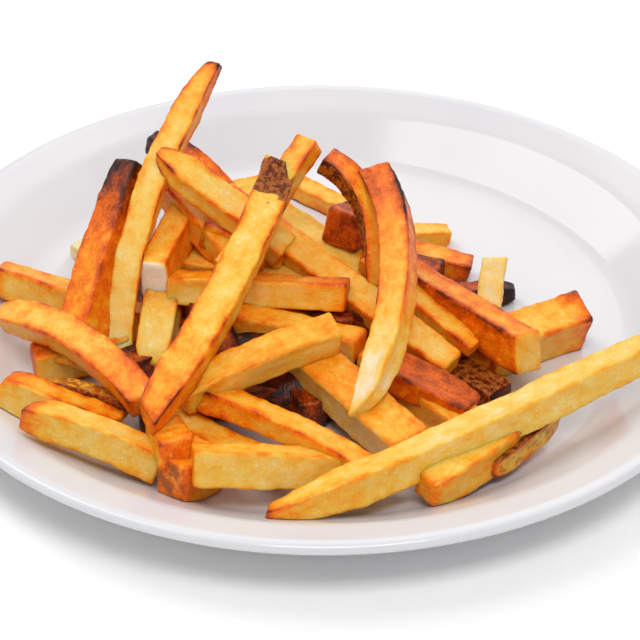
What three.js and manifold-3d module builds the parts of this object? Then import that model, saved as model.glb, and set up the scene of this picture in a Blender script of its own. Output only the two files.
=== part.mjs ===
// A portion of french fries, heaped loosely on a round dinner plate.
// Millimetres, +Z up. The origin is the centre of the plate's foot, on the surface it stands on.
// +X runs to the right of the heap, +Y away from the side that the plate is served from.

import * as THREE from 'three';
import { mergeVertices } from 'three/addons/utils/BufferGeometryUtils.js';
import Module from 'manifold-3d';

const wasm = await Module();
wasm.setup();

// ---------------------------------------------------------------- driving dimensions

const PLATE = {
  radius: 130, // outer edge of the rim
  height: 22, // top of the rim's bead above the table
  lipRadius: 116, // where the sloping wall turns into the rim
  lipHeight: 18.3,
  wallRadius: 101, // foot of the straight part of the wall
  wallHeight: 8.2,
  floorRadius: 90, // the flat floor ends here
  floorHeight: 5.5,
  china: 3.7, // thickness of the body
  edge: 1.9, // rounding radius of the rim's bead
  footInner: 74, // foot ring
  footOuter: 81,
  footDepth: 2,
  segments: 72,
};

const GAP = 0.3; // clear space between the lowest fries and the glaze

const FRY = {
  corner: 0.22, // chamfer of a long edge, as a share of the thickness
  taperReach: 0.2, // share of the length over which an end narrows
  taperPower: 0.6,
  endRounding: 0.86, // a cut end is this much narrower than the fry
  unevenness: 0.05, // how far the section swells and shrinks along the fry
  straightStations: [0, 0.08, 0.5, 0.92, 1],
  bentStations: [0, 0.07, 0.26, 0.5, 0.74, 0.93, 1],
};

// The dense middle of the heap, which the fries lie on.
const CORE = { centre: [-8, -20], radius: 36, height: 20, rings: 6, segments: 24 };

// Fries buried under the ones that show: layers of crossing sticks, spread by the golden angle.
const BURIED = {
  goldenAngle: Math.PI * (3 - Math.sqrt(5)),
  turnPerFry: 1.7,
  wide: 10,
  layers: [
    { count: 9, spread: 46, level: 11, length: 50, centre: [-12, -16] },
    { count: 5, spread: 30, level: 20, length: 44, centre: [-16, -14] },
  ],
};

const RANDOM_SEED = 7;

// Every fry that shows, from one end, its head, to the other, its tail. `bow` is how far the middle
// stands off the straight line, `headTaper` and `tailTaper` narrow the two ends, and `roll` turns
// the section about the fry's length, in degrees.
const SHOWN = {
  // left and front left
  leftLow: { from: [-95, -56, 19], to: [-60, -66, 9], wide: 10, deep: 13, headTaper: 0.8, roll: 15 },
  leftSkinPiece: {
    from: [-81, -51, 16], to: [-57, -58, 13], wide: 6, deep: 7, headTaper: 0.6, tailTaper: 0.6, roll: 10,
  },
  frontLeftBig: {
    from: [-85, -74, 23], to: [-46, -83, 12], bow: [0, 0, 2], wide: 10, headTaper: 0.6, roll: 15,
  },
  leftStubUnder: { from: [-88, -35, 12], to: [-60, -23, 12], wide: 10, deep: 11 },
  leftPaleBit: { from: [-83, 32, 13], to: [-52, 6, 12], wide: 8, deep: 6, headTaper: 0.6 },
  leftStub: { from: [-104, 7, 16], to: [-54, -12, 11], wide: 10, deep: 11, headTaper: 0.9, roll: 15 },
  leftCrossing: {
    from: [-100, -17, 18], to: [-51, -65, 20], bow: [2, 1, 6], wide: 10, deep: 9, headTaper: 0.6, roll: -20,
  },
  footOrange: { from: [-40, -91, 23], to: [-46, -74, 18], wide: 10, deep: 8 },
  footBrown: { from: [-42, -95, 15], to: [-32, -82, 12], wide: 12, deep: 15 },

  // front
  frontLow: { from: [-36, -95, 22], to: [7, -86, 13], wide: 10, deep: 11, tailTaper: 0.4, roll: 20 },
  frontLowBehind: { from: [-45, -64, 13], to: [-13, -83, 11], wide: 9, deep: 8 },
  frontDiagonal: { from: [-36, -61, 21], to: [16, -89, 12], bow: [0, 0, 3], wide: 10, deep: 7, roll: 15 },
  frontWide: { from: [-6, -42, 21], to: [26, -79, 14], wide: 13, deep: 12, roll: -10 },
  frontInner: { from: [12, -33, 15], to: [43, -67, 12], wide: 11 },
  frontWedge: { from: [29, -96, 14], to: [56, -71, 15], wide: 12, headTaper: 0.6, tailTaper: 0.7 },
  frontSkinWedge: {
    from: [48, -85, 13], to: [69, -61, 14], wide: 7, deep: 8, headTaper: 0.6, tailTaper: 0.5,
  },
  frontLong: {
    from: [-15, -107, 14], to: [98, -47, 28], bow: [-18, -13, -3], wide: 11, deep: 10,
    headTaper: 0.35, tailTaper: 0.8, roll: 15,
  },

  // right
  rightSkin: { from: [14, -41, 21], to: [44, -62, 16], wide: 12, deep: 8, tailTaper: 0.7 },
  rightSmallTip: { from: [17, -20, 12], to: [51, -34, 11], wide: 8, tailTaper: 0.7 },
  rightBurnt: { from: [27, -25, 11], to: [54, -51, 11], wide: 10 },
  rightBack: { from: [81, -12, 14], to: [50, -29, 13], wide: 13, deep: 17, roll: 15 },
  rightCurl: { from: [30, 3, 11], to: [63, 8, 12], wide: 7, tailTaper: 0.5 },
  rightUpright: { from: [55, 1, 29], to: [51, -17, 12], wide: 8, deep: 7 },
  rightDiagonal: { from: [15, 5, 26], to: [62, -44, 24], wide: 11, deep: 12, roll: 12 },
  rightDiagonalLow: { from: [14, -3, 30], to: [46, -40, 23], wide: 7, deep: 5, tailTaper: 0.8 },

  // back
  backRight: { from: [8, 38, 12], to: [43, 44, 11], wide: 8, deep: 6, tailTaper: 0.8 },
  backRightLow: { from: [7, 32, 16], to: [49, 22, 11], wide: 9, deep: 7 },
  backFar: { from: [-13, 81, 9], to: [24, 49, 9], wide: 8, deep: 6 },
  backPale: { from: [-52, 39, 22], to: [-17, 50, 24], wide: 9 },
  backOlive: { from: [-26, 45, 25], to: [20, -6, 21], wide: 10 },
  backRed: { from: [6, 10, 33], to: [21, 34, 25], wide: 13, deep: 12 },

  // left flank
  tall: {
    from: [-34, 41, 76], to: [-63, -27, 12], bow: [-6, -1, 3], wide: 9, deep: 8, headTaper: 0.4, roll: 10,
  },
  tallDark: {
    from: [-59, 18, 52], to: [-76, -36, 12], bow: [-1, 0, 0], wide: 12, deep: 11, headTaper: 0.8, roll: -25,
  },
  flankBrown: { from: [-57, 49, 43], to: [-22, 14, 26], bow: [2, 0, 4], wide: 9, headTaper: 0.6 },
  flankPeach: { from: [-50, 24, 42], to: [-22, -8, 27], wide: 10 },
  flankOrange: { from: [-37, 7, 36], to: [-12, 1, 28], wide: 10, deep: 9 },
  flankWhiteEnd: { from: [-52, -14, 29], to: [-42, 22, 36], wide: 9, deep: 12 },
  flankPale: { from: [-49, -13, 23], to: [-52, -35, 12], wide: 11, deep: 8, tailTaper: 0.5 },

  // middle and top
  middlePale: { from: [-46, 6, 23], to: [0, -5, 23], wide: 13, deep: 9 },
  middleLevel: { from: [-47, -12, 26], to: [8, -22, 30], wide: 10, deep: 9, roll: 17 },
  middleOrange: { from: [-26, -26, 22], to: [12, -37, 20], wide: 11, roll: 8 },
  middleGrooved: {
    from: [-41, -65, 22], to: [4, -44, 31], bow: [0, 0, 2], wide: 10, headTaper: 0.8, roll: -10,
  },
  middleLong: { from: [-33, 26, 35], to: [39, -45, 19], wide: 11, deep: 10, tailTaper: 0.8, roll: -10 },
  topPointed: { from: [-51, 12, 60], to: [-12, -1, 32], wide: 11, deep: 7, headTaper: 0.25, roll: -10 },
  topBehind: { from: [-4, 14, 63], to: [-27, -15, 39], wide: 8, deep: 7 },
  topSkinEnd: {
    from: [-49, -84, 29], to: [-13, 9, 56], bow: [3, 0, 0], wide: 11, deep: 9, headTaper: 0.7, roll: -15,
  },
  topBrownHook: { from: [2, 14, 55], to: [16, -18, 31], bow: [6, 0, 5], wide: 8, deep: 6, tailTaper: 0.4 },
  topHook: {
    from: [16, 9, 56], to: [12, -80, 29], bow: [9, 1, 4], wide: 10, deep: 8, tailTaper: 0.5, roll: -25,
  },
};

const PLATE_FINISH = { color: 0xeceaea, roughness: 0.12, metalness: 0 };
const FRIES_FINISH = { color: 0xe0a04c, roughness: 0.5, metalness: 0, flatShading: true };

// ---------------------------------------------------------------- helpers

// Small seeded generator (mulberry32), so that the heap comes out the same every time.
function seededRandom(seed) {
  let state = seed >>> 0;
  return () => {
    state = (state + 0x6d2b79f5) >>> 0;
    let t = state;
    t = Math.imul(t ^ (t >>> 15), t | 1);
    t ^= t + Math.imul(t ^ (t >>> 7), t | 61);
    return ((t ^ (t >>> 14)) >>> 0) / 4294967296;
  };
}

// Turns a profile of (radius, height) points round the Z axis.
function turned(points, segments) {
  const geometry = new THREE.LatheGeometry(points, segments);
  geometry.rotateX(Math.PI / 2);
  return geometry;
}

function toSolid(geometry) {
  const bare = geometry.clone();
  bare.deleteAttribute('normal');
  bare.deleteAttribute('uv');
  const merged = mergeVertices(bare, 1e-4);
  return new wasm.Manifold(new wasm.Mesh({
    numProp: 3,
    vertProperties: new Float32Array(merged.attributes.position.array),
    triVerts: new Uint32Array(merged.index.array),
  }));
}

function toGeometry(solid) {
  const mesh = solid.getMesh();
  const geometry = new THREE.BufferGeometry();
  geometry.setAttribute('position', new THREE.BufferAttribute(new Float32Array(mesh.vertProperties), 3));
  geometry.setIndex(new THREE.BufferAttribute(new Uint32Array(mesh.triVerts), 1));
  geometry.computeVertexNormals();
  return geometry;
}

// ---------------------------------------------------------------- the plate

// The glazed upper face, from the outer edge inwards to the start of the flat floor.
function drawUpperFace(path) {
  const { radius, height, edge, lipRadius, lipHeight } = PLATE;
  const { wallRadius, wallHeight, floorRadius, floorHeight } = PLATE;
  const lipEase = 1.2;
  path.lineTo(radius - edge * 1.7, height - edge * 0.2);
  path.lineTo(lipRadius + lipEase, lipHeight + lipEase * 0.35);
  path.quadraticCurveTo(lipRadius, lipHeight, lipRadius - lipEase, lipHeight - lipEase * 0.67);
  path.lineTo(wallRadius, wallHeight);
  const filletRadius = wallRadius - (wallHeight - floorHeight) / 0.67;
  path.quadraticCurveTo(filletRadius, floorHeight, floorRadius, floorHeight);
}

function plateProfile() {
  const { radius, height, edge, lipRadius, lipHeight, wallRadius, wallHeight, floorRadius } = PLATE;
  const { china, footInner, footOuter, footDepth } = PLATE;
  const footRound = 1.2;
  const path = new THREE.Path();
  path.moveTo(0, footDepth);
  path.lineTo(footInner, footDepth);
  path.lineTo(footInner + footRound, 0);
  path.lineTo(footOuter - footRound, 0);
  path.lineTo(footOuter, footDepth);
  path.quadraticCurveTo(floorRadius + 5, footDepth + 0.3, wallRadius + 1.5, wallHeight - china);
  path.lineTo(lipRadius, lipHeight - china);
  path.lineTo(radius - edge, height - 2 * edge);
  path.quadraticCurveTo(radius, height - 2 * edge, radius, height - edge);
  path.quadraticCurveTo(radius, height, radius - edge, height);
  drawUpperFace(path);
  path.lineTo(0, PLATE.floorHeight);
  return path.getPoints(4);
}

function makePlate() {
  const mesh = new THREE.Mesh(
    turned(plateProfile(), PLATE.segments),
    new THREE.MeshStandardMaterial(PLATE_FINISH),
  );
  mesh.name = 'plate';
  return mesh;
}

// Everything that the plate keeps free of fries: its own body and the gap above the glaze.
function plateClearance() {
  const outside = PLATE.radius + 20;
  const below = -20;
  const path = new THREE.Path();
  path.moveTo(0, below);
  path.lineTo(outside, below);
  path.lineTo(outside, PLATE.height);
  path.lineTo(PLATE.radius - PLATE.edge, PLATE.height);
  drawUpperFace(path);
  path.lineTo(0, PLATE.floorHeight);
  return toSolid(turned(path.getPoints(4), PLATE.segments)).translate([0, 0, GAP]);
}

// ---------------------------------------------------------------- one fry

function taperAt(share, headTaper, tailTaper) {
  const reach = FRY.taperReach;
  if (share < reach) return headTaper + (1 - headTaper) * (share / reach) ** FRY.taperPower;
  if (share > 1 - reach) return tailTaper + (1 - tailTaper) * ((1 - share) / reach) ** FRY.taperPower;
  return 1;
}

// The eight corners of a square stick's section with its long edges taken off.
function sectionCorners(halfWide, halfDeep) {
  const cut = FRY.corner * 2 * Math.min(halfWide, halfDeep);
  return [
    [halfWide - cut, -halfDeep], [halfWide, -halfDeep + cut],
    [halfWide, halfDeep - cut], [halfWide - cut, halfDeep],
    [-halfWide + cut, halfDeep], [-halfWide, halfDeep - cut],
    [-halfWide, -halfDeep + cut], [-halfWide + cut, -halfDeep],
  ];
}

// A cut potato stick along a gently bowed axis, closed at both ends.
function frySolid(fry, random) {
  const { wide, deep = wide, bow = [0, 0, 0], headTaper = 1, tailTaper = 1, roll = 0 } = fry;
  const from = new THREE.Vector3(...fry.from);
  const to = new THREE.Vector3(...fry.to);
  const control = from.clone().lerp(to, 0.5).addScaledVector(new THREE.Vector3(...bow), 2);
  const axis = new THREE.QuadraticBezierCurve3(from, control, to);
  const stations = new THREE.Vector3(...bow).length() > 2 ? FRY.bentStations : FRY.straightStations;
  const up = new THREE.Vector3(0, 0, 1);
  const turn = THREE.MathUtils.degToRad(roll);
  const positions = [];
  const sides = 8;

  for (const share of stations) {
    const centre = axis.getPointAt(share);
    const along = axis.getTangentAt(share);
    const level = new THREE.Vector3().crossVectors(along, up).normalize();
    const across = level.clone().applyAxisAngle(along, -turn);
    const lift = new THREE.Vector3().crossVectors(across, along);
    const atEnd = share === 0 || share === 1 ? FRY.endRounding : 1;
    const size = taperAt(share, headTaper, tailTaper) * atEnd / 2;
    const swell = () => 1 + FRY.unevenness * (2 * random() - 1);
    for (const [x, y] of sectionCorners(wide * size * swell(), deep * size * swell())) {
      const corner = centre.clone().addScaledVector(across, x).addScaledVector(lift, y);
      positions.push(corner.x, corner.y, corner.z);
    }
  }

  const triangles = [];
  for (let ring = 0; ring < stations.length - 1; ring += 1) {
    for (let side = 0; side < sides; side += 1) {
      const a = ring * sides + side;
      const b = ring * sides + (side + 1) % sides;
      triangles.push(a, b + sides, b, a, a + sides, b + sides);
    }
  }
  const last = (stations.length - 1) * sides;
  for (let side = 1; side < sides - 1; side += 1) {
    triangles.push(0, side, side + 1);
    triangles.push(last, last + side + 1, last + side);
  }

  const geometry = new THREE.BufferGeometry();
  geometry.setAttribute('position', new THREE.Float32BufferAttribute(positions, 3));
  geometry.setIndex(triangles);
  return toSolid(geometry);
}

// ---------------------------------------------------------------- the heap

function buriedFries() {
  const fries = [];
  for (const { count, spread, level, length, centre } of BURIED.layers) {
    for (let i = 0; i < count; i += 1) {
      const turn = BURIED.goldenAngle * (fries.length + 1);
      const out = spread * Math.sqrt((i + 0.5) / count);
      const x = centre[0] + out * Math.cos(turn);
      const y = centre[1] + out * Math.sin(turn);
      const heading = turn * BURIED.turnPerFry;
      const dx = Math.cos(heading) * length / 2;
      const dy = Math.sin(heading) * length / 2;
      fries.push({ from: [x - dx, y - dy, level], to: [x + dx, y + dy, level], wide: BURIED.wide });
    }
  }
  return fries;
}

function coreSolid() {
  const { centre, radius, height, rings, segments } = CORE;
  const base = PLATE.floorHeight + GAP;
  const points = [new THREE.Vector2(0, base)];
  for (let ring = 0; ring <= rings; ring += 1) {
    const angle = (ring / rings) * Math.PI / 2;
    points.push(new THREE.Vector2(radius * Math.cos(angle), base + height * Math.sin(angle)));
  }
  points[points.length - 1].x = 0;
  const dome = turned(points, segments);
  dome.translate(centre[0], centre[1], 0);
  return toSolid(dome);
}

// Joins core and fries, frees the plate, and keeps the one body that they make: a pocket that the
// joining closed off is filled, and a crumb that touches nothing is left out.
function makeFries() {
  const random = seededRandom(RANDOM_SEED);
  const sticks = [...Object.values(SHOWN), ...buriedFries()].map((fry) => frySolid(fry, random));
  const heap = wasm.Manifold.union([coreSolid(), ...sticks]).subtract(plateClearance());
  const bodies = heap.decompose().sort((a, b) => b.volume() - a.volume());
  const pockets = bodies.filter((body) => body.volume() < 0);
  const solid = pockets.reduce((whole, pocket) => whole.add(pocket), bodies[0]);
  const mesh = new THREE.Mesh(toGeometry(solid), new THREE.MeshStandardMaterial(FRIES_FINISH));
  mesh.name = 'fries';
  return mesh;
}

// ---------------------------------------------------------------- scene graph

const group = new THREE.Group();
group.add(makePlate());
group.add(makeFries());

export default group;
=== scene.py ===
"""A portion of french fries on a round china dinner plate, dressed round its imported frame.

Sizes are millimetres and are turned to metres where a mesh is made, and the stage is in metres. +Z
is up, the origin is the centre of the plate's foot, and +Y points away from the side that is served
from.
"""

import math
import random
from typing import NamedTuple

import bmesh
import bpy
from mathutils import Euler, Matrix, Quaternion, Vector, noise


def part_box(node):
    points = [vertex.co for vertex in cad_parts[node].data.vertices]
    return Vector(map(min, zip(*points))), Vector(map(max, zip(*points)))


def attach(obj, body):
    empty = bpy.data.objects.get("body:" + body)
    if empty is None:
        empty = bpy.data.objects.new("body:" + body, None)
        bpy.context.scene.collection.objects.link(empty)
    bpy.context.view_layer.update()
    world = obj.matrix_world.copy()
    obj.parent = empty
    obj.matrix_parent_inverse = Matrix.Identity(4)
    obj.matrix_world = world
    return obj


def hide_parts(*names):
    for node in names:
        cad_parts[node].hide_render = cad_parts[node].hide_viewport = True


bl_info = {
    "name": "French fries portion",
    "version": (1, 0, 0),
    "blender": (4, 5, 0),
    "location": "View3D > Sidebar > Fries",
    "description": "Builds a heap of french fries and the dinner plate that it is served on",
    "category": "Add Mesh",
}

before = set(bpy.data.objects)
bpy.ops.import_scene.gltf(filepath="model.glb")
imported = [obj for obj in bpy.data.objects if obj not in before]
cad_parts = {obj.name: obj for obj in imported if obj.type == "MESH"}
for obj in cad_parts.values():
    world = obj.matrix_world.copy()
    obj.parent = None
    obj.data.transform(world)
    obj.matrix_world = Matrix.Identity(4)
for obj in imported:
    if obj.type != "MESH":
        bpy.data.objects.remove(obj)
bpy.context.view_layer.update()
MM = 0.001
PLATE_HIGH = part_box("plate")[1] / MM


# ---------------------------------------------------------------- the fries, one by one


class Skin(NamedTuple):
    """A patch of potato skin: the side of the fry that it lies on, and its stretch along it."""

    side: str
    start: float
    end: float
    depth: float = 1.0


class Fry(NamedTuple):
    """One cut potato stick. Tones run from 0, white and starchy, to 1, burnt."""

    start: tuple
    end: tuple
    wide: float
    deep: float = 0.0  # 0 is as deep as wide
    bow: tuple = (0, 0, 0)  # how far the middle stands off the straight line
    head: float = 1.0  # how narrow the two ends are
    tail: float = 1.0
    tone: tuple = (0.4, 0.35, 0.4)  # of the upper side, at the head, the middle and the tail
    near: float = 0.0  # what the side faces add to it: partly their own browning, partly painted light and shade of that side
    far: float = 0.0
    ends: tuple = (0.12, 0.12)  # what the two ends add to it
    edge: float = 0.2  # what the long edges add to it
    tint: float = 0.0  # -1 is olive, 1 is rosy
    cut: tuple = (0, 0, 0, 0)  # slant of the end cuts: head across and up, tail across and up
    roll: float = 0.0  # degrees that the section is turned, from across to up
    skin: tuple = ()


FRIES = {
    # left and front left
    "left_low": Fry(
        (-95, -56, 19), (-60, -66, 9), 10, deep=13, head=0.8, roll=15,
        tone=(0.48, 0.46, 0.5), near=-0.2, ends=(0.2, 0.1), edge=0.3, cut=(0, 3, 0, 0)),
    "left_skin_piece": Fry(
        (-81, -51, 16), (-57, -58, 13), 6, deep=7, head=0.6, tail=0.6, roll=10,
        tone=(0.34, 0.3, 0.42), near=0.2,
        skin=(Skin("top", 0.0, 1.0, 0.5), Skin("near", 0.0, 1.0), Skin("under", 0.0, 1.0))),
    "front_left_big": Fry(
        (-85, -74, 23), (-46, -83, 12), 10, bow=(0, 0, 2), head=0.6, roll=15,
        tone=(0.4, 0.32, 0.36), near=-0.04, ends=(0.4, 0.1), edge=0.2, tint=-0.3),
    "left_stub_under": Fry(
        (-88, -35, 12), (-60, -23, 12), 10, deep=11,
        tone=(0.6, 0.55, 0.5), near=-0.28, ends=(0.1, 0)),
    "left_pale_bit": Fry(
        (-83, 38, 9), (-52, 11, 8.5), 8, deep=6, head=0.6,
        tone=(0.06, 0.1, 0.2), ends=(0, 0), edge=0.05, tint=-0.7),
    "left_stub": Fry(
        (-104, 7, 16), (-54, -12, 11), 10, deep=11, head=0.9, roll=15,
        tone=(0.46, 0.44, 0.5), near=-0.1, ends=(0.2, 0.1), edge=0.24),
    "left_crossing": Fry(
        (-100, -17, 18), (-51, -65, 20), 10, deep=9, bow=(2, 1, 6), head=0.6, roll=-20,
        tone=(0.4, 0.42, 0.46), near=-0.02, ends=(0.1, 0.08), edge=0.24, tint=0.15),
    "foot_orange": Fry(
        (-40, -91, 23), (-46, -74, 18), 10, deep=8,
        tone=(0.5, 0.46, 0.44), ends=(0.1, 0.1), edge=0.12),
    "foot_brown": Fry(
        (-42, -95, 15), (-32, -82, 12), 12, deep=15,
        tone=(0.52, 0.48, 0.46), ends=(0.14, 0), edge=0.14, skin=(Skin("head", 0.0, 0.1, 0.55),)),
    # front
    "front_low": Fry(
        (-36, -95, 22), (7, -86, 13), 10, deep=11, tail=0.4, roll=20,
        tone=(0.42, 0.4, 0.38), near=-0.14, ends=(0.1, 0.3), edge=0.16, tint=-0.2),
    "front_low_behind": Fry((-45, -64, 13), (-13, -83, 11), 9, deep=8, tone=(0.42, 0.4, 0.45)),
    "front_diagonal": Fry(
        (-36, -61, 21), (16, -89, 12), 10, deep=7, bow=(0, 0, 3), roll=15,
        tone=(0.5, 0.38, 0.4), tint=0.3),
    "front_wide": Fry(
        (-6, -42, 21), (26, -79, 14), 13, deep=12, roll=-10,
        tone=(0.46, 0.46, 0.4), near=-0.2, edge=0.18, tint=0.1),
    "front_inner": Fry((12, -33, 15), (43, -67, 12), 11, tone=(0.46, 0.4, 0.42)),
    "front_wedge": Fry(
        (29, -96, 14), (56, -71, 15), 12, head=0.6, tail=0.7,
        tone=(0.34, 0.34, 0.55), near=0.05, ends=(0.2, 0.1), edge=0.18, skin=(Skin("under", 0.0, 1.0),)),
    "front_skin_wedge": Fry(
        (48, -85, 13), (69, -61, 14), 7, deep=8, head=0.6, tail=0.5,
        tone=(0.5, 0.46, 0.5), near=-0.14, edge=0.26, tint=-0.6,
        skin=(Skin("top", 0.0, 1.0), Skin("near", 0.0, 1.0, 0.4))),
    "front_long": Fry(
        (-15, -107, 14), (98, -47, 28), 11, deep=10, bow=(-18, -13, -3), head=0.35, tail=0.8, roll=15,
        tone=(0.36, 0.24, 0.28), near=0.03, ends=(0.4, 0.1), edge=0.12, tint=-0.2),
    # right
    "right_skin": Fry(
        (14, -41, 21), (44, -62, 16), 12, deep=8, tail=0.7,
        tone=(0.56, 0.7, 0.68), near=-0.1, ends=(0, 0.1), edge=0.14, skin=(Skin("top", 0.4, 1.0, 0.3),)),
    "right_small_tip": Fry(
        (17, -20, 12), (51, -34, 11), 8, tail=0.7, tone=(0.45, 0.45, 0.42), ends=(0, 0.12)),
    "right_burnt": Fry(
        (27, -25, 11), (54, -51, 11), 10,
        tone=(0.7, 0.8, 0.8), near=-0.08, skin=(Skin("top", 0.3, 1.0), Skin("near", 0.3, 1.0, 0.7))),
    "right_back": Fry(
        (81, -12, 14), (50, -29, 13), 13, deep=17, roll=15,
        tone=(0.5, 0.36, 0.38), near=0.02, ends=(0.3, 0.1), edge=0.26),
    "right_curl": Fry((30, 6, 9), (63, 11, 9), 7, tail=0.5, tone=(0.64, 0.76, 0.86), ends=(0, 0.2)),
    "right_upright": Fry(
        (55, 1, 29), (51, -17, 12), 8, deep=7,
        tone=(0.14, 0.14, 0.22), ends=(0.02, 0.5), edge=0.12, tint=-0.5),
    "right_diagonal": Fry(
        (15, 5, 26), (62, -44, 24), 11, deep=12, roll=12,
        tone=(0.5, 0.56, 0.54), near=0.08, ends=(0.1, -0.2), edge=0.24, cut=(0, 0, 0, -4)),
    "right_diagonal_low": Fry(
        (14, -3, 30), (46, -40, 23), 7, deep=5, tail=0.8,
        tone=(0.36, 0.34, 0.4), ends=(0, 0.16), edge=0.24),
    # back
    "back_right": Fry(
        (8, 38, 12), (43, 46, 9.5), 8, deep=6, tail=0.8,
        tone=(0.26, 0.26, 0.3), ends=(0, 0.16), edge=0.18, tint=-0.3),
    "back_right_low": Fry(
        (7, 32, 16), (49, 24, 9.5), 9, deep=7, tone=(0.46, 0.44, 0.5), near=0.04, ends=(0, 0.3)),
    "back_far": Fry((-13, 81, 9), (24, 49, 9), 8, deep=6, tone=(0.42, 0.4, 0.42), edge=0.18),
    "back_pale": Fry((-52, 39, 22), (-17, 50, 24), 9, tone=(0.26, 0.26, 0.3), tint=0.3),
    "back_olive": Fry((-26, 45, 25), (20, -6, 21), 10, tone=(0.3, 0.3, 0.3), tint=-0.8),
    "back_red": Fry(
        (6, 10, 33), (21, 34, 25), 13, deep=12,
        tone=(0.7, 0.72, 0.7), ends=(0.04, 0), skin=(Skin("head", 0.0, 0.1, 0.3),)),
    # left flank
    "tall": Fry(
        (-34, 41, 76), (-63, -27, 12), 9, deep=8, bow=(-6, -1, 3), head=0.4, roll=10,
        tone=(0.4, 0.28, 0.2), near=0.1, far=0.1, ends=(0.5, 0.05), edge=0.28, tint=-0.3),
    "tall_dark": Fry(
        (-59, 18, 52), (-76, -36, 12), 12, deep=11, bow=(-1, 0, 0), head=0.8, roll=-25,
        tone=(0.84, 0.58, 0.48), near=0.1, far=0.02, ends=(0.18, 0), edge=0.16),
    "flank_brown": Fry(
        (-57, 49, 43), (-22, 14, 26), 9, bow=(2, 0, 4), head=0.6, tone=(0.8, 0.62, 0.55), ends=(0.2, 0)),
    "flank_peach": Fry((-50, 24, 42), (-22, -8, 27), 10, tone=(0.46, 0.42, 0.46), near=0.02, tint=0.4),
    "flank_orange": Fry((-37, 7, 36), (-12, 1, 28), 10, deep=9, tone=(0.5, 0.46, 0.5)),
    "flank_white_end": Fry(
        (-52, -14, 29), (-42, 22, 36), 9, deep=12,
        tone=(0.34, 0.4, 0.46), near=0.12, far=0.06, ends=(-0.5, 0), cut=(0, 4, 0, 0)),
    "flank_pale": Fry(
        (-49, -13, 23), (-52, -35, 12), 11, deep=8, tail=0.5,
        tone=(0.4, 0.22, 0.2), edge=0.18, tint=-0.8, skin=(Skin("near", 0.2, 1.0, 0.8),)),
    # middle and top
    "middle_pale": Fry((-46, 6, 23), (0, -5, 23), 13, deep=9, tone=(0.4, 0.34, 0.3), tint=0.4),
    "middle_level": Fry(
        (-47, -12, 26), (8, -22, 30), 10, deep=9, roll=17,
        tone=(0.5, 0.5, 0.54), near=-0.2, ends=(0, 0.2), edge=0.14, tint=0.1),
    "middle_orange": Fry(
        (-26, -26, 22), (12, -37, 20), 11, roll=8,
        tone=(0.54, 0.4, 0.38), near=-0.1, cut=(0, -5, 0, 0)),
    "middle_grooved": Fry(
        (-41, -65, 22), (4, -44, 31), 10, bow=(0, 0, 2), head=0.8, roll=-10,
        tone=(0.42, 0.4, 0.42), near=-0.08, ends=(0.05, 0.05), edge=0.18, tint=-0.4),
    "middle_long": Fry(
        (-33, 26, 35), (39, -45, 19), 11, deep=10, tail=0.8, roll=-10,
        tone=(0.38, 0.36, 0.3), near=0.02, ends=(0, 0.16), edge=0.24, tint=0.35),
    "top_pointed": Fry(
        (-51, 12, 60), (-12, -1, 32), 11, deep=7, head=0.25, roll=-10,
        tone=(0.32, 0.25, 0.28), near=0.04, ends=(0.3, 0.1), edge=0.3, tint=-0.4),
    "top_behind": Fry(
        (-4, 14, 63), (-29, -16, 35), 8, deep=7, tone=(0.4, 0.36, 0.38), ends=(0.12, 0), edge=0.26),
    "top_skin_end": Fry(
        (-49, -82, 27.5), (-13, 9, 56), 11, deep=9, bow=(3, 0, 0), head=0.7, roll=-15,
        tone=(0.47, 0.31, 0.33), near=0.08, far=0.1, ends=(0.16, 0.1), edge=0.28, cut=(-6, 0, 0, 0),
        skin=(Skin("top", 0.87, 1.0), Skin("near", 0.87, 1.0), Skin("far", 0.87, 1.0),
              Skin("tail", 0.9, 1.0))),
    # Its near side, the inside of the hook, is darker: partly a patch of skin, partly painted shade.
    "top_brown_hook": Fry(
        (1, 13, 57), (16, -16, 29), 8, deep=6, bow=(6, 0, 5), tail=0.4,
        tone=(0.62, 0.42, 0.42), near=0.22, ends=(0.1, 0), edge=0.24, skin=(Skin("near", 0.0, 0.75, 0.8),)),
    "top_hook": Fry(
        (16, 9, 56), (12, -70, 22), 10, deep=8, bow=(9, 1, 4), tail=0.5, roll=-25,
        tone=(0.66, 0.42, 0.02), near=0.1, far=0.1, ends=(0.06, 0.28), edge=0.24, cut=(-3, 3, 6, 0)),
}

BROWNED = ("left_skin_piece", "foot_brown", "front_skin_wedge", "right_skin", "right_burnt", "right_curl",
           "back_red", "tall_dark", "flank_brown", "top_brown_hook")

# The dense middle of the heap, which the fries lie on, and the crossing fries buried in it. Both are toasted
# dark as painted shade, for the deep gaps between the fries that show.
CORE_CENTRE = (-8, -20)
CORE_RADIUS = 36
CORE_HEIGHT = 20
# Painted shade: the dome is toasted dark brown for the depth of the heap.
CORE_SHADE_TONE = 0.95
GOLDEN_ANGLE = math.pi * (3 - math.sqrt(5))
BURIED_TURN = 1.7
BURIED_WIDE = 10
BURIED_LAYERS = (
    {"count": 9, "spread": 46, "level": 11, "length": 50, "centre": (-12, -16)},
    {"count": 5, "spread": 30, "level": 20, "length": 44, "centre": (-16, -14)},
)
# Painted shade: the buried fries are toasted darker than those that show.
BURIED_SHADE_TONE = (0.78, 0.76, 0.78)
BURIED_COARSENESS = 2.5  # they hardly show, so their rings of faces lie this much further apart

# What chance adds to each fry.
CUT_SLANT = 1.2  # millimetres that an end's cut leans, on top of the fry's own `cut`
TWIST = 6  # degrees along the whole fry
SKEW = 0.1  # how far the section is pushed out of square
WANDER = 0.5  # millimetres that the axis strays to either side
WANDER_SIZE = 24
THICKNESS_CHANGE = 0.04  # share by which the fry swells and thins along its length
THICKNESS_SIZE = 17

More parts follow.
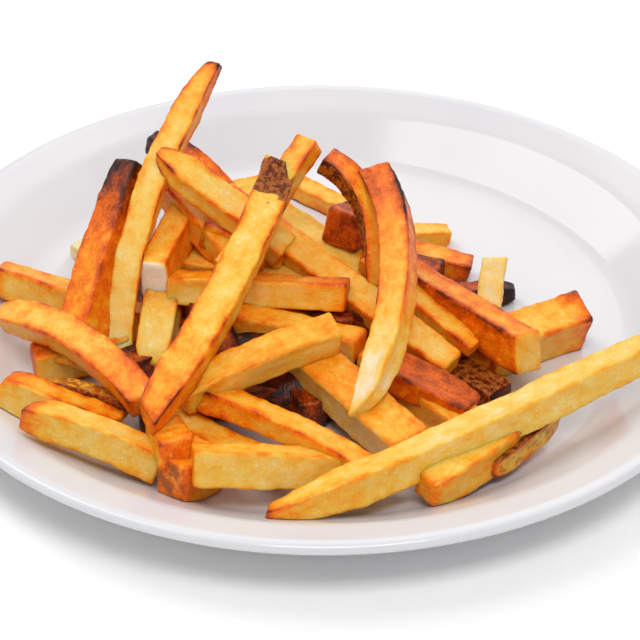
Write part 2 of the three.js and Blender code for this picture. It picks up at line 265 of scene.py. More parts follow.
# The form of a cut stick.
EDGE_ROUNDING = 0.11  # radius of a long edge, as a share of the thickness
TAPER_REACH = 0.2  # an end narrows over this share of the length
TAPER_POWER = 0.6
CUT_REACH = 9  # an end's slant has died away this far from it
HOLLOW = 0.04  # how far the flat sides sink, as a share of the width
SWELLS = ((0.3, 13, 7), (0.24, 3.4, 3.4), (0.16, 1.9, 4), (0.12, 1.4, 1.4))  # height, size along, across
EDGE_SWELL = (0.25, 3, 5)  # one more along the edges and ends

# Browning. An edge has a dark line and a softer band beside it, and an end shades the stretch by it.
EDGE_LINE = 0.6
EDGE_BAND = 2.0
BAND_TONE = 0.8  # of the band, as a share of the line's
END_BAND = 3.0

# ---------------------------------------------------------------- the plate's section

PLATE_RADIUS = PLATE_HIGH.x
PLATE_HEIGHT = PLATE_HIGH.z
LIP_RADIUS = PLATE_RADIUS - 14  # where the sloping wall turns into the rim
LIP_HEIGHT = 18.3
LIP_EASE = 2.2
WALL_RADIUS = 101  # foot of the straight part of the wall
WALL_HEIGHT = 8.2
FLOOR_RADIUS = 90  # the flat floor ends here
FLOOR_HEIGHT = 5.5
CHINA = 3.7  # thickness of the body
EDGE = 1.9  # rounding of the rim's bead
FOOT_INNER, FOOT_OUTER = 74, 81
FOOT_DEPTH = 2.0
FOOT_ROUND = 1.2
BEAD_DROP = 0.55  # from the top of the rim's bead down to the rim beside it
WALL_SLOPE = (LIP_HEIGHT - WALL_HEIGHT) / (LIP_RADIUS - WALL_RADIUS)
GAP = 0.3  # clear space between the lowest fries and the glaze

# ---------------------------------------------------------------- sizes of the finishes' patterns

FIBRE = 1.5  # fibres of the potato, drawn out along the stick
FIBRE_STRETCH = (0.6, 1, 1)
BLOTCH = 5.0  # patches that fried faster
BLISTER = 1.1
GRAIN = 0.6  # starch cells, about 0.15 mm, drawn four times as coarse so that they show
PEEL_FLECK = 1.8
OIL_DROP = 0.9
GLAZE_POOL = 40
GLAZE_WAVE = 14
NOISE_LOW, NOISE_HIGH = 0.3, 0.7  # most of a noise lies between these
MIX_SHARE, MIX_FIRST, MIX_SECOND, MIX_RESULT = 0, 6, 7, 2  # the Mix node's sockets for colours

# ---------------------------------------------------------------- the stage, in metres

CAMERA_PLACE = (-0.0005, -0.5297, 0.3711)
CAMERA_TILT = 55.371  # degrees up from looking straight down
CAMERA_ROLL = 0.2625
SENSOR_WIDTH = 36  # millimetres, as is the focal length
FOCAL_LENGTH = 112.5
FLOOR_SIZE = 3.0
WINDOW_LIGHT = {"place": (-0.53, 0.3, 0.94), "size": (1.0, 0.45), "spin": 60}
BACK_LIGHT = {"place": (0.5, 0.9, 0.8), "size": (1.4, 1.0)}
FRONT_LIGHT = {"place": (0.1, -0.65, 1.2), "size": (0.7, 0.4)}


# ---------------------------------------------------------------- helpers


def srgb(code):
    """Linear colour, with alpha, of an sRGB hex code."""
    parts = [int(code[i : i + 2], 16) / 255 for i in (1, 3, 5)]
    return tuple(p / 12.92 if p <= 0.04045 else ((p + 0.055) / 1.055) ** 2.4 for p in parts) + (1.0,)


def smooth_step(low, high, value):
    """0 below `low`, 1 above `high`, and an even rise between them."""
    share = min(1.0, max(0.0, (value - low) / (high - low)))
    return share * share * (3 - 2 * share)


def quad_curve(start, control, end, steps):
    """Points of a quadratic curve after its first one."""
    points = []
    for i in range(1, steps + 1):
        t = i / steps
        points.append(tuple(
            (1 - t) ** 2 * a + 2 * t * (1 - t) * b + t * t * c for a, b, c in zip(start, control, end)
        ))
    return points


def finish_piece(name, bm, material):
    """Makes an object of the bmesh, with smooth shading and its place in its mesh."""
    mesh = bpy.data.meshes.new(name)
    bm.to_mesh(mesh)
    bm.free()
    mesh.materials.append(material)
    mesh.polygons.foreach_set("use_smooth", [True] * len(mesh.polygons))
    piece = bpy.data.objects.new(name, mesh)
    bpy.context.scene.collection.objects.link(piece)
    return piece


def add(tree, kind, inputs=None, **settings):
    """Adds a node with its settings, and gives each input a value or another node's output."""
    node = tree.nodes.new(kind)
    for name, value in settings.items():
        setattr(node, name, value)
    for socket, value in (inputs or {}).items():
        if isinstance(value, bpy.types.NodeSocket):
            tree.links.new(value, node.inputs[socket])
        else:
            node.inputs[socket].default_value = value
    return node


def new_material(name):
    """An empty node material with its output, and the shader that the caller links up."""
    material = bpy.data.materials.new(name)
    material.use_nodes = True
    material.node_tree.nodes.clear()
    tree = material.node_tree
    output = add(tree, "ShaderNodeOutputMaterial")
    shader = add(tree, "ShaderNodeBsdfPrincipled")
    tree.links.new(shader.outputs["BSDF"], output.inputs["Surface"])
    return material, tree, shader


def scaled_noise(tree, vector, size, stretch=(1, 1, 1), detail=2.0, rough=0.5):
    """Noise with features of about `size` millimetres, on a vector that is in millimetres."""
    mapped = add(tree, "ShaderNodeMapping", {"Vector": vector, "Scale": [s / size for s in stretch]})
    return add(tree, "ShaderNodeTexNoise", {
        "Vector": mapped.outputs[0], "Scale": 1.0, "Detail": detail, "Roughness": rough,
    }).outputs[0]


def remap(tree, value, low, high, to_low, to_high):
    return add(tree, "ShaderNodeMapRange", {
        "Value": value, "From Min": low, "From Max": high, "To Min": to_low, "To Max": to_high,
    }).outputs[0]


def spread(tree, value, low, high):
    """A noise stretched so that most of it lies between two values."""
    return remap(tree, value, NOISE_LOW, NOISE_HIGH, low, high)


def total(tree, *values):
    """Sum of values."""
    result = values[0]
    for value in values[1:]:
        result = add(tree, "ShaderNodeMath", {0: result, 1: value}, operation="ADD").outputs[0]
    return result


def ramp(tree, value, stops):
    """Colour ramp through (place, colour) stops."""
    node = add(tree, "ShaderNodeValToRGB", {"Fac": value})
    elements = node.color_ramp.elements
    for i, (place, colour) in enumerate(stops):
        element = elements[i] if i < 2 else elements.new(place)
        element.position = place
        element.color = colour
    return node.outputs["Color"]


def mix_colour(tree, share, first, second, blend="MIX"):
    return add(tree, "ShaderNodeMix", {
        MIX_SHARE: share, MIX_FIRST: first, MIX_SECOND: second,
    }, data_type="RGBA", blend_type=blend).outputs[MIX_RESULT]


# ---------------------------------------------------------------- materials


def fried_potato(colours):
    """Potato fried in oil: a thin blistered crust over starch that lets a little light through.

    The crust is glossy with oil and runs from cream through gold to burnt brown with the fry's own
    `toast_and_shade`: its browning, with painted light and shade on its sides and in the heap's
    middle. Skin left on the potato fries to a dark mottled parchment.
    """
    material, tree, shader = new_material("fried_potato_crust")
    toast_and_shade = add(tree, "ShaderNodeAttribute", attribute_name="toast_and_shade").outputs["Fac"]
    skin = add(tree, "ShaderNodeAttribute", attribute_name="skin").outputs["Fac"]
    tint = add(tree, "ShaderNodeAttribute", attribute_name="tint").outputs["Fac"]
    stick = add(tree, "ShaderNodeAttribute", attribute_name="stick").outputs["Vector"]

    # Blisters stay paler than the crust round them.
    fibre = scaled_noise(tree, stick, FIBRE, stretch=FIBRE_STRETCH, detail=3)
    blotch = scaled_noise(tree, stick, BLOTCH, detail=3)
    grain = scaled_noise(tree, stick, GRAIN, detail=2, rough=0.7)
    blister = scaled_noise(tree, stick, BLISTER, detail=1)
    fried = total(
        tree, toast_and_shade, remap(tree, blister, 0.62, 0.74, 0.0, -0.12),
        spread(tree, fibre, -0.05, 0.05),
        spread(tree, blotch, -0.09, 0.09),
        spread(tree, grain, -0.055, 0.055),
    )
    crust_colour = ramp(tree, fried, [
        (0.0, colours.starch), (0.2, colours.cream), (0.36, colours.gold), (0.5, colours.amber),
        (0.62, colours.orange), (0.77, colours.russet), (0.88, colours.brown), (1.0, colours.char),
    ])
    olive = mix_colour(
        tree, remap(tree, tint, -1.0, 0.0, 0.5, 0.0), crust_colour, colours.olive, blend="MULTIPLY")
    rosy = mix_colour(tree, remap(tree, tint, 0.0, 1.0, 0.0, 0.5), olive, colours.rose, blend="MULTIPLY")

    fleck = scaled_noise(tree, stick, PEEL_FLECK, detail=4, rough=0.65)
    peel = ramp(tree, fleck, [
        (0.3, colours.char), (0.45, colours.brown), (0.56, colours.peel), (0.7, colours.russet),
    ])
    ragged = total(tree, skin, spread(tree, fleck, -0.3, 0.3))
    base = mix_colour(tree, remap(tree, ragged, 0.35, 0.6, 0.0, 1.0), rosy, peel)

    relief = add(tree, "ShaderNodeMath", {0: fibre, 1: grain}, operation="ADD").outputs[0]
    bump = add(tree, "ShaderNodeBump", {"Height": relief, "Strength": 0.6, "Distance": 0.35 * MM})
    tree.links.new(base, shader.inputs["Base Color"])
    tree.links.new(bump.outputs[0], shader.inputs["Normal"])
    tree.links.new(spread(tree, blotch, 0.36, 0.52), shader.inputs["Roughness"])
    shader.inputs["IOR"].default_value = 1.45
    shader.inputs["Specular IOR Level"].default_value = 0.15
    shader.inputs["Subsurface Weight"].default_value = 0.5
    shader.inputs["Subsurface Radius"].default_value = (1.0, 0.4, 0.12)
    shader.inputs["Subsurface Scale"].default_value = 3.5 * MM
    # A thin coat of oil, which drops break up into small glints.
    drops = scaled_noise(tree, stick, OIL_DROP, detail=2, rough=0.6)
    oil = add(tree, "ShaderNodeBump", {"Height": drops, "Strength": 0.8, "Distance": 0.4 * MM})
    tree.links.new(oil.outputs[0], shader.inputs["Coat Normal"])
    shader.inputs["Coat Weight"].default_value = 0.3
    shader.inputs["Coat Roughness"].default_value = 0.07
    return material


def glazed_china(colours):
    """White porcelain under a clear glaze: neutral body colour and a hard, sharp gloss."""
    material, tree, shader = new_material("glazed_porcelain")
    place = add(tree, "ShaderNodeTexCoord").outputs["Object"]
    in_mm = add(
        tree, "ShaderNodeVectorMath", {"Vector": place, "Scale": 1 / MM}, operation="SCALE").outputs[0]
    pool = scaled_noise(tree, in_mm, GLAZE_POOL, detail=1)
    tree.links.new(
        mix_colour(tree, spread(tree, pool, 0.0, 1.0), colours.china, colours.china_shade),
        shader.inputs["Base Color"],
    )
    wave = scaled_noise(tree, in_mm, GLAZE_WAVE, detail=1)
    bump = add(tree, "ShaderNodeBump", {"Height": wave, "Strength": 0.05, "Distance": 0.3 * MM})
    tree.links.new(bump.outputs[0], shader.inputs["Normal"])
    shader.inputs["Roughness"].default_value = 0.12
    shader.inputs["IOR"].default_value = 1.5
    return material


def plain_floor(colour):
    """Matt white studio table."""
    material, tree, shader = new_material("matt_white_table")
    shader.inputs["Base Color"].default_value = colour
    shader.inputs["Roughness"].default_value = 0.9
    shader.inputs["Specular IOR Level"].default_value = 0.1
    return material


# ---------------------------------------------------------------- one fry


def plate_surface(radius):
    """Height of the glaze at a distance from the plate's middle."""
    if radius < FLOOR_RADIUS:
        return FLOOR_HEIGHT
    if radius < WALL_RADIUS:
        share = (radius - FLOOR_RADIUS) / (WALL_RADIUS - FLOOR_RADIUS)
        return FLOOR_HEIGHT + (WALL_HEIGHT - FLOOR_HEIGHT) * share * share
    if radius < LIP_RADIUS:
        return WALL_HEIGHT + (radius - WALL_RADIUS) * WALL_SLOPE
    slope = (PLATE_HEIGHT - LIP_HEIGHT) / (PLATE_RADIUS - LIP_RADIUS)
    return LIP_HEIGHT + (min(radius, PLATE_RADIUS) - LIP_RADIUS) * slope


def straight_stick(length, wide, deep, spacing):
    """A cut stick along X: a box with rounded edges and an even net of faces."""
    bm = bmesh.new()
    bmesh.ops.create_cube(bm, size=1)
    bmesh.ops.scale(bm, vec=(length, wide, deep), verts=bm.verts)
    bmesh.ops.bevel(
        bm, geom=bm.edges[:], offset=EDGE_ROUNDING * min(wide, deep), offset_type="OFFSET", segments=3,
        profile=0.5, affect="EDGES", material=-1, clamp_overlap=True,
    )
    for axis, size in enumerate((length, wide, deep)):
        edges = []
        for edge in bm.edges:
            run = edge.verts[1].co - edge.verts[0].co
            if abs(run[axis]) > 0.5 * size:
                edges.append(edge)
        flat = size * (1 - 2 * EDGE_ROUNDING) if axis else size
        cuts = max(1, round(flat / spacing) - 1)
        bmesh.ops.subdivide_edges(bm, edges=edges, cuts=cuts)
    bm.normal_update()
    return bm


def even_steps(start, control, end, steps=48):
    """Length of a quadratic curve and the parameters that part it into even lengths."""
    points = [Vector(start)] + [Vector(p) for p in quad_curve(start, control, end, steps)]
    run = [0.0]
    for a, b in zip(points, points[1:]):
        run.append(run[-1] + (b - a).length)
    marks, k = [], 0
    for i in range(steps + 1):
        goal = run[-1] * i / steps
        while k < steps - 1 and run[k + 1] < goal:
            k += 1
        marks.append((k + (goal - run[k]) / (run[k + 1] - run[k])) / steps)
    return run[-1], marks


def mark_at(marks, share):
    """The curve's parameter at a share of its length, running straight on past its ends."""
    place = share * (len(marks) - 1)
    k = min(max(int(place), 0), len(marks) - 2)
    return marks[k] + (place - k) * (marks[k + 1] - marks[k])


def end_taper(share, head, tail):
    """How narrow the fry is at a share of its length, against its middle."""
    if share < TAPER_REACH:
        return head + (1 - head) * (max(share, 0) / TAPER_REACH) ** TAPER_POWER
    if share > 1 - TAPER_REACH:
        return tail + (1 - tail) * (max(1 - share, 0) / TAPER_REACH) ** TAPER_POWER
    return 1.0


def tone_along(tone, share):
    """The three tones of a fry, joined smoothly along it."""
    if share < 0.5:
        return tone[0] + (tone[1] - tone[0]) * smooth_step(0.0, 0.5, share)
    return tone[1] + (tone[2] - tone[1]) * smooth_step(0.5, 1.0, share)


def end_tone(amount, facing, distance):
    """What an end adds: a browned one shades the stretch beside it, and a pale one only its cut."""
    if amount > 0:
        return amount * max(facing, math.exp(-distance / END_BAND))
    return amount * smooth_step(0.4, 0.9, facing)


def side_weights(normal):
    """How much a point of the straight stick belongs to each of its six sides."""
    x, y, z = (c * c for c in normal)
    return {
        "head": x if normal.x < 0 else 0.0, "tail": x if normal.x > 0 else 0.0,
        "near": y if normal.y > 0 else 0.0, "far": y if normal.y < 0 else 0.0,
        "top": z if normal.z > 0 else 0.0, "under": z if normal.z < 0 else 0.0,
    }


def swell(place, height, along, across):
    """Smooth unevenness of a height, with a size along the stick and one across it."""
    return height * noise.noise(Vector((place.x / along, place.y / across, place.z / across)))


def skin_cover(patches, place, share, weights):
    """How much skin covers a point. The patches end on a wavering line."""
    border = share + swell(place, 0.05, 4, 4)
    cover = sum(
        patch.depth * weights[patch.side]
        * smooth_step(patch.start - 0.03, patch.start + 0.01, border)
        * (1 - smooth_step(patch.end - 0.01, patch.end + 0.03, border))
        for patch in patches
    )
    return min(1.0, cover)


def toast_and_shade_level(fry, place, share, weights, from_edge, from_head, from_tail):
    """How far a point has fried, with painted light and shade of the side faces added: 0 is white, 1 is
    burnt, and the ramp holds what lies past them.
    """
    line = math.exp(-((from_edge / EDGE_LINE) ** 2))
    band = BAND_TONE * math.exp(-((from_edge / EDGE_BAND) ** 2))
    level = tone_along(fry.tone, share) + swell(place, 0.05, 9, 9)
    # The side faces add partly their own browning and partly painted light and shade: paler where the lamps
    # leave them dim, darker where they lie in shade.
    level += fry.near * weights["near"] + fry.far * weights["far"]
    level += fry.edge * (0.7 + swell(place, 0.9, 6, 9)) * (line + band)
    level += end_tone(fry.ends[0], weights["head"], from_head)
    level += end_tone(fry.ends[1], weights["tail"], from_tail)
    return level


def crust_push(wide, place, from_edge, from_end):
    """How far a point moves out of the straight stick's face. The flats sink a little."""
    flat = smooth_step(0.0, 0.32 * wide, from_edge) * smooth_step(0.0, 4.0, from_end)
    push = sum(swell(place, *size) for size in SWELLS)
    return push - HOLLOW * wide * flat + (1 - flat) * swell(place, *EDGE_SWELL)


def cut_shift(across, up, point, half, from_end):
    """How far an end's slanting cut moves a point along the stick."""
    slant = across * point.y / half.y + up * point.z / half.z
    return slant * (1 - smooth_step(0, CUT_REACH, from_end)) / 2


def shape_fry(fry, rng, spacing):
    """A fry in its place: a straight stick made uneven, bent along its axis and toasted."""
    deep = fry.deep or fry.wide
    start, end = Vector(fry.start), Vector(fry.end)
    control = (start + end) / 2 + 2 * Vector(fry.bow)
    length, marks = even_steps(start, control, end)
    half = Vector((length, fry.wide, deep)) / 2
    bm = straight_stick(length, fry.wide, deep, spacing)
    toast_and_shade = bm.verts.layers.float.new("toast_and_shade")
    skin = bm.verts.layers.float.new("skin")
    tint = bm.verts.layers.float.new("tint")
    stick = bm.verts.layers.float_vector.new("stick")
    offset = Vector((rng.uniform(0, 900), rng.uniform(0, 900), rng.uniform(0, 900)))
    lean = [a + rng.uniform(-CUT_SLANT, CUT_SLANT) for a in fry.cut]
    twist = math.radians(rng.uniform(-TWIST, TWIST))
    skew = rng.uniform(-SKEW, SKEW)
    roll = math.radians(fry.roll)

    for v in bm.verts:
        point = v.co.copy()
        share = point.x / length + 0.5
        place = point + offset
        from_edge = max(half.y - abs(point.y), half.z - abs(point.z))
        from_head, from_tail = half.x + point.x, half.x - point.x
        weights = side_weights(v.normal)
        v[stick] = place
        v[toast_and_shade] = toast_and_shade_level(fry, place, share, weights, from_edge, from_head, from_tail)
        v[skin] = skin_cover(fry.skin, place, share, weights)
        v[tint] = fry.tint

        push = crust_push(fry.wide, place, from_edge, min(from_head, from_tail))
        moved = point + v.normal * push
        moved.y += skew * moved.z
        moved.x += cut_shift(lean[0], lean[1], point, half, from_head)
        moved.x += cut_shift(lean[2], lean[3], point, half, from_tail)
        size = end_taper(share, fry.head, fry.tail)
        size *= 1 + swell(Vector((place.x, offset.y, 0)), THICKNESS_CHANGE, THICKNESS_SIZE, 1)
        angle = roll + twist * (share - 0.5)
        side = (moved.y * math.cos(angle) - moved.z * math.sin(angle)) * size
        rise = (moved.y * math.sin(angle) + moved.z * math.cos(angle)) * size
        side += swell(Vector((place.x, offset.y, 3)), WANDER, WANDER_SIZE, 1)
        rise += swell(Vector((place.x, offset.y, 7)), WANDER, WANDER_SIZE, 1)
        t = mark_at(marks, moved.x / length + 0.5)
        centre = (1 - t) ** 2 * start + 2 * t * (1 - t) * control + t * t * end
        along = (2 * (1 - t) * (control - start) + 2 * t * (end - control)).normalized()
        across = along.cross(Vector((0, 0, 1))).normalized()
        lift = across.cross(along)
        v.co = centre + across * side + lift * rise
        v.co.z = max(v.co.z, plate_surface(math.hypot(v.co.x, v.co.y)) + GAP)

    # Along, across and up make a left-handed set, so the faces are turned round again.
    bmesh.ops.reverse_faces(bm, faces=bm.faces[:])
    bmesh.ops.scale(bm, vec=(MM, MM, MM), verts=bm.verts)
    return bm


def join_fries(name, fries, material, spacing, seed):
    """One piece of many fries."""
    rng = random.Random(seed)
    whole = bmesh.new()
    for layer in ("toast_and_shade", "skin", "tint"):
        whole.verts.layers.float.new(layer)
    whole.verts.layers.float_vector.new("stick")
    scratch = bpy.data.meshes.new("scratch")
    for fry in fries:
        bm = shape_fry(fry, rng, spacing)
        bm.to_mesh(scratch)
        bm.free()
        whole.from_mesh(scratch)
    bpy.data.meshes.remove(scratch)
    piece = finish_piece(name, whole, material)
    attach(piece, "root")
    return piece


def buried_fries():
    """Crossing sticks under the ones that show, spread by the golden angle and toasted dark as painted shade.
    """
    fries = []
    for layer in BURIED_LAYERS:
        for i in range(layer["count"]):
            turn = GOLDEN_ANGLE * (len(fries) + 1)
            out = layer["spread"] * math.sqrt((i + 0.5) / layer["count"])
            middle = Vector((
                layer["centre"][0] + out * math.cos(turn), layer["centre"][1] + out * math.sin(turn),
                layer["level"],
            ))
            heading = turn * BURIED_TURN
            reach = Vector((math.cos(heading), math.sin(heading), 0)) * layer["length"] / 2
            fries.append(Fry(tuple(middle - reach), tuple(middle + reach), BURIED_WIDE, tone=BURIED_SHADE_TONE))
    return fries


# ---------------------------------------------------------------- settings


def colour_setting(name, description, code):
    """A colour that the user can change, with its default as an sRGB hex code."""
    return bpy.props.FloatVectorProperty(
        name=name, description=description, subtype="COLOR", size=4, default=srgb(code))


class FriesSettings(bpy.types.PropertyGroup):
    """Colours and fineness of the fries."""

    starch: colour_setting("Starch", "Potato that hardly fried", "#F2E4CA")
    cream: colour_setting("Cream", "Pale side of a fry", "#F2CE74")
    gold: colour_setting("Gold", "Usual side of a fry", "#F2BA42")
    amber: colour_setting("Amber", "Well fried side", "#F49812")
    orange: colour_setting("Orange", "Fried edge", "#EC6C04")
    russet: colour_setting("Russet", "Browned edge", "#B44802")
    brown: colour_setting("Brown", "Dark end", "#6A2202")
    char: colour_setting("Char", "Burnt tip", "#1E0803")
    peel: colour_setting("Peel", "Skin between its dark flecks", "#A8601C")
    olive: colour_setting("Olive cast", "Cast of the greener fries", "#E4F0B8")
    rose: colour_setting("Rosy cast", "Cast of the pinker fries", "#FFE8F0")
    spacing: bpy.props.FloatProperty(
        name="Mesh spacing", description="Distance between rings of faces along a fry, in millimetres",
        default=1.0, min=0.5, max=10)


class PlateSettings(bpy.types.PropertyGroup):
    """Finish of the plate."""

    china: colour_setting("China", "Glazed porcelain", "#D9D8DA")
    china_shade: colour_setting("China, thicker glaze", "Porcelain where the glaze has pooled", "#D6D5D8")
    segments: bpy.props.IntProperty(
        name="Segments", description="Steps round the plate", default=192, min=24, max=512)


class StageSettings(bpy.types.PropertyGroup):
    """Floor, lights and camera."""

    floor: colour_setting("Floor", "Studio table", "#FAFAFA")
    ambient: bpy.props.FloatProperty(
        name="Room light", description="Strength of the even light from all round", default=0.5)
    key: bpy.props.FloatProperty(
        name="Window light", description="Power of the large light", default=4.6, unit="POWER")
    back: bpy.props.FloatProperty(
        name="Back light", description="Power of the light from behind", default=4.2, unit="POWER")
    front: bpy.props.FloatProperty(
        name="Front light", description="Power of the light above the camera", default=8.0, unit="POWER")


# ---------------------------------------------------------------- operators


class FRIES_OT_plate(bpy.types.Operator):
    """Turn the china plate from its section"""

    bl_idname = "fries.plate"
    bl_label = "Plate"

    def execute(self, context):
        settings = context.scene.plate_settings
        piece = finish_piece("plate_china", plate_bmesh(settings.segments), glazed_china(settings))
        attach(piece, "root")
        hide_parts("plate")
        return {"FINISHED"}


class FRIES_OT_golden(bpy.types.Operator):
    """Lay the golden fries of the heap"""

    bl_idname = "fries.golden"
    bl_label = "Golden fries"

    def execute(self, context):
        settings = context.scene.fries_settings
        fries = [fry for name, fry in FRIES.items() if name not in BROWNED]
        piece = join_fries("fries_golden", fries, crust(settings), settings.spacing, seed=11)
        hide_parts("fries")
        return {"FINISHED"}


class FRIES_OT_browned(bpy.types.Operator):
    """Lay the browned fries and those with skin on"""

    bl_idname = "fries.browned"
    bl_label = "Browned fries"

    def execute(self, context):
        settings = context.scene.fries_settings
        fries = [FRIES[name] for name in BROWNED]
        join_fries("fries_browned", fries, crust(settings), settings.spacing, seed=23)
        return {"FINISHED"}


class FRIES_OT_buried(bpy.types.Operator):
    """Fill the heap with crossing fries over its dense middle, both dark with painted shade"""

    bl_idname = "fries.buried"
    bl_label = "Buried fries"

    def execute(self, context):
        settings = context.scene.fries_settings
        spacing = settings.spacing * BURIED_COARSENESS
        join_fries("fries_buried", buried_fries(), crust(settings), spacing, seed=37)
        piece = finish_piece("heap_core_painted_shade", core_bmesh(), crust(settings))
        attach(piece, "root")
        return {"FINISHED"}


class FRIES_OT_stage(bpy.types.Operator):
    """Set the floor, the soft lights and the camera"""

    bl_idname = "fries.stage"
    bl_label = "Stage"

    def execute(self, context):
        settings = context.scene.stage_settings
        lay_floor(settings)
        hang_lights(context.scene, settings)
        place_camera(context.scene)
        context.scene.view_settings.view_transform = "Standard"
        return {"FINISHED"}


class FRIES_PT_panel(bpy.types.Panel):
    """Buttons for each piece"""

    bl_label = "French fries"
    bl_idname = "FRIES_PT_panel"
    bl_space_type = "VIEW_3D"
    bl_region_type = "UI"
    bl_category = "Fries"

    def draw(self, context):
        for group in ("fries_settings", "plate_settings", "stage_settings"):
            settings = getattr(context.scene, group)
            box = self.layout.box()
            for name in settings.bl_rna.properties.keys():
                if name not in ("rna_type", "name"):
                    box.prop(settings, name)
        for operator in OPERATORS:
            self.layout.operator(operator.bl_idname)


# ---------------------------------------------------------------- pieces


def crust(settings):
    """The one fried potato material, made when it is first asked for."""
    return bpy.data.materials.get("fried_potato_crust") or fried_potato(settings)


def plate_section():
    """The plate's section in millimetres, from the middle of its underside round to its floor."""
    points = [(0, FOOT_DEPTH), (FOOT_INNER - FOOT_ROUND, FOOT_DEPTH)]
    points += quad_curve(points[-1], (FOOT_INNER, FOOT_DEPTH), (FOOT_INNER + FOOT_ROUND * 0.6, 0.6), 4)
    points += quad_curve(points[-1], (FOOT_INNER + FOOT_ROUND, 0), (FOOT_INNER + 2 * FOOT_ROUND, 0), 4)
    points.append((FOOT_OUTER - 2 * FOOT_ROUND, 0))
    points += quad_curve(points[-1], (FOOT_OUTER - FOOT_ROUND, 0), (FOOT_OUTER - FOOT_ROUND * 0.6, 0.6), 4)
    points += quad_curve(points[-1], (FOOT_OUTER, FOOT_DEPTH), (FOOT_OUTER + FOOT_ROUND, FOOT_DEPTH + 0.1), 4)
    points += quad_curve(
        points[-1], (FLOOR_RADIUS + 5, FOOT_DEPTH + 0.4), (WALL_RADIUS + 1.5, WALL_HEIGHT - CHINA), 12)
    points.append((LIP_RADIUS - 2, LIP_HEIGHT - CHINA - 2 * WALL_SLOPE))
    points += quad_curve(
        points[-1], (LIP_RADIUS, LIP_HEIGHT - CHINA), (LIP_RADIUS + 3, LIP_HEIGHT - CHINA + 0.9), 8)
    outer, crown = PLATE_RADIUS, PLATE_HEIGHT
    points.append((outer - EDGE * 1.6, crown - 2 * EDGE - 0.25))
    points += quad_curve(points[-1], (outer, crown - 2 * EDGE + 0.3), (outer, crown - EDGE), 10)
    points += quad_curve(points[-1], (outer, crown), (outer - EDGE, crown), 10)
    points += quad_curve(points[-1], (outer - EDGE * 1.6, crown), (outer - EDGE * 2.4, crown - BEAD_DROP), 6)
    rim_slope = (crown - BEAD_DROP - LIP_HEIGHT) / (outer - EDGE * 2.4 - LIP_RADIUS)
    points.append((LIP_RADIUS + LIP_EASE, LIP_HEIGHT + LIP_EASE * rim_slope))
    points += quad_curve(
        points[-1], (LIP_RADIUS, LIP_HEIGHT), (LIP_RADIUS - LIP_EASE, LIP_HEIGHT - LIP_EASE * WALL_SLOPE), 14)
    points.append((WALL_RADIUS, WALL_HEIGHT))
    fillet = WALL_RADIUS - (WALL_HEIGHT - FLOOR_HEIGHT) / WALL_SLOPE
    points += quad_curve(points[-1], (fillet, FLOOR_HEIGHT), (FLOOR_RADIUS, FLOOR_HEIGHT), 16)
    points.append((0, FLOOR_HEIGHT))
    return points


def plate_bmesh(segments):
    """The plate's section turned round Z into one closed body."""
    bm = bmesh.new()
    verts = [bm.verts.new((radius * MM, 0, height * MM)) for radius, height in plate_section()]
    edges = [bm.edges.new(pair) for pair in zip(verts, verts[1:])]
    bmesh.ops.spin(
        bm, geom=verts + edges, axis=(0, 0, 1), cent=(0, 0, 0), angle=2 * math.pi, steps=segments,
        use_merge=True,
    )
    bmesh.ops.remove_doubles(bm, verts=bm.verts, dist=1e-6)
    bmesh.ops.recalc_face_normals(bm, faces=bm.faces)
    return bm


def core_bmesh():
    """The dome of packed fries in the middle, kept clear of the glaze and toasted dark brown as painted
    shade.
    """
    bm = bmesh.new()
    bmesh.ops.create_uvsphere(bm, u_segments=48, v_segments=24, radius=1)
    toast_and_shade = bm.verts.layers.float.new("toast_and_shade")
    stick = bm.verts.layers.float_vector.new("stick")
    for name in ("skin", "tint"):
        bm.verts.layers.float.new(name)
    base = FLOOR_HEIGHT + GAP
    for v in bm.verts:
        v.co.z = max(v.co.z, 0)
        v.co = Vector((
            CORE_CENTRE[0] + v.co.x * CORE_RADIUS, CORE_CENTRE[1] + v.co.y * CORE_RADIUS,
            base + v.co.z * CORE_HEIGHT,
        ))
        # Painted shade of the heap's depths.
        v[toast_and_shade] = CORE_SHADE_TONE
        v[stick] = v.co
    bmesh.ops.scale(bm, vec=(MM, MM, MM), verts=bm.verts)
    bmesh.ops.remove_doubles(bm, verts=bm.verts, dist=1e-6)
    bmesh.ops.dissolve_degenerate(bm, dist=1e-6, edges=bm.edges)
    bmesh.ops.recalc_face_normals(bm, faces=bm.faces)
    return bm


# ---------------------------------------------------------------- stage


def lay_floor(settings):
    """The table under the plate, which is not part of the object."""
    bm = bmesh.new()
    bmesh.ops.create_grid(bm, x_segments=1, y_segments=1, size=FLOOR_SIZE)
    floor = finish_piece("floor", bm, plain_floor(settings.floor))


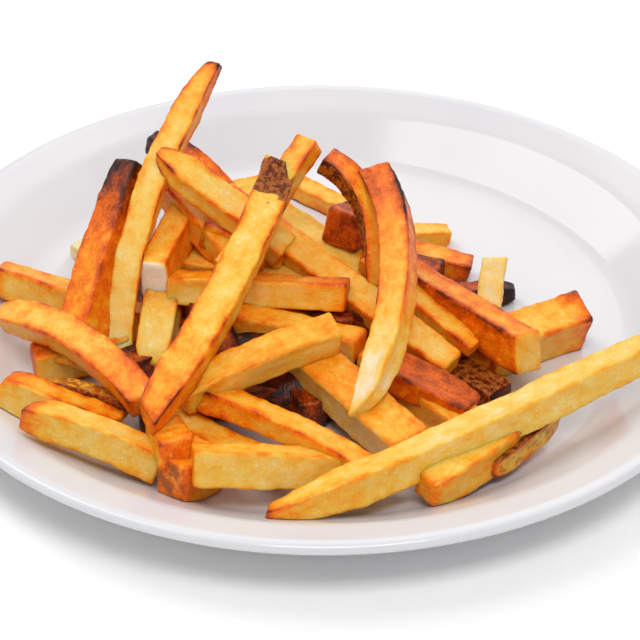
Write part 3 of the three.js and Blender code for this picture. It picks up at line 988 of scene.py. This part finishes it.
def hang_light(name, place, size, power, spin=0.0):
    """A soft box that faces the middle of the plate, turned by `spin` degrees in its own plane."""
    light = bpy.data.lights.new(name, "AREA")
    light.shape = "RECTANGLE"
    light.size, light.size_y = size
    light.energy = power
    lamp = bpy.data.objects.new(name, light)
    lamp.location = place
    facing = (-Vector(place)).to_track_quat("-Z", "Y")
    lamp.rotation_euler = (facing @ Quaternion((0, 0, 1), math.radians(spin))).to_euler()
    bpy.context.scene.collection.objects.link(lamp)


def hang_lights(scene, settings):
    """Three soft boxes and an even white room."""
    hang_light("window_light", power=settings.key, **WINDOW_LIGHT)
    hang_light("back_light", power=settings.back, **BACK_LIGHT)
    hang_light("front_light", power=settings.front, **FRONT_LIGHT)
    world = bpy.data.worlds.new("studio")
    world.use_nodes = True
    background = world.node_tree.nodes["Background"]
    background.inputs["Color"].default_value = (1, 1, 1, 1)
    background.inputs["Strength"].default_value = settings.ambient
    scene.world = world


def place_camera(scene):
    """A long lens from the front, above the rim, that cuts the plate off at both sides."""
    camera = bpy.data.cameras.new("camera")
    camera.sensor_width = SENSOR_WIDTH
    camera.lens = FOCAL_LENGTH
    holder = bpy.data.objects.new("camera", camera)
    holder.location = CAMERA_PLACE
    tilt = Euler((math.radians(CAMERA_TILT), 0, 0)).to_matrix()
    turn = tilt @ Matrix.Rotation(math.radians(CAMERA_ROLL), 3, "Z")
    holder.rotation_euler = turn.to_euler()
    scene.collection.objects.link(holder)
    scene.camera = holder


# ---------------------------------------------------------------- add-on

OPERATORS = (FRIES_OT_plate, FRIES_OT_golden, FRIES_OT_browned, FRIES_OT_buried, FRIES_OT_stage)
CLASSES = (FriesSettings, PlateSettings, StageSettings, *OPERATORS, FRIES_PT_panel)


def register():
    for cls in CLASSES:
        bpy.utils.register_class(cls)
    bpy.types.Scene.fries_settings = bpy.props.PointerProperty(type=FriesSettings)
    bpy.types.Scene.plate_settings = bpy.props.PointerProperty(type=PlateSettings)
    bpy.types.Scene.stage_settings = bpy.props.PointerProperty(type=StageSettings)


def unregister():
    del bpy.types.Scene.stage_settings
    del bpy.types.Scene.plate_settings
    del bpy.types.Scene.fries_settings
    for cls in reversed(CLASSES):
        bpy.utils.unregister_class(cls)


def main():
    register()
    bpy.ops.fries.plate()
    bpy.ops.fries.golden()
    bpy.ops.fries.browned()
    bpy.ops.fries.buried()
    bpy.ops.fries.stage()


if __name__ == "__main__":
    main()
